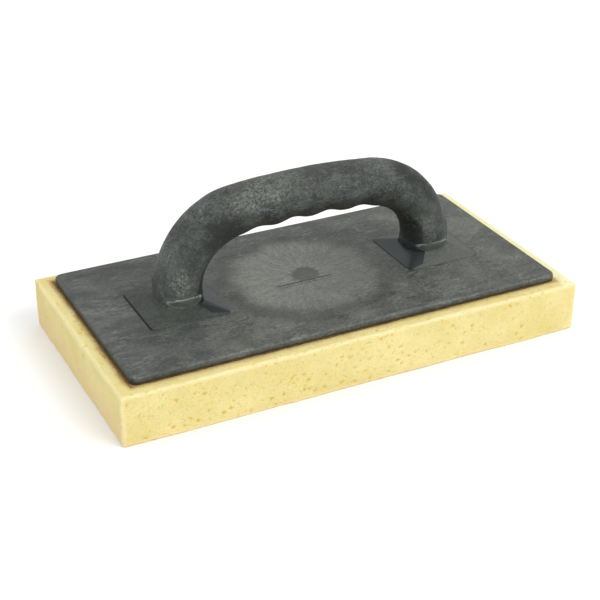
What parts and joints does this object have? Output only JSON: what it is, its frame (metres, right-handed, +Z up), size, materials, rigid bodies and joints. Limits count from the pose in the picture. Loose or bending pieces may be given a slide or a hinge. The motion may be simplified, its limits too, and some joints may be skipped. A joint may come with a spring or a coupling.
{
  "type": "sponge float",
  "caption": "Sponge float: a dark moulded plastic plate with an arched grip, bonded to a flat rectangular block of pale yellow sponge, used to smooth render, plaster and grout.",
  "frame": {"origin": "centre of the sponge's flat working face, on the ground plane", "axes": "+X along the length and the grip, +Y across the width, +Z up from the working face towards the grip"},
  "size_m": [0.28, 0.145, 0.1007],
  "materials": {
    "sponge_foam": "open-cell sponge, matt",
    "adhesive": "dried contact adhesive",
    "plate_plastic": "moulded, with flow streaks",
    "handle_plastic": "moulded, lightly scuffed",
    "screw_steel": "zinc plated"
  },
  "bodies": {
    "root": {"sponge_pad": "sponge_foam", "adhesive_film": "adhesive", "base_plate": "plate_plastic", "handle": "handle_plastic", "screw_left_front": "screw_steel", "screw_left_rear": "screw_steel", "screw_right_front": "screw_steel", "screw_right_rear": "screw_steel"}
  },
  "joints": []
}
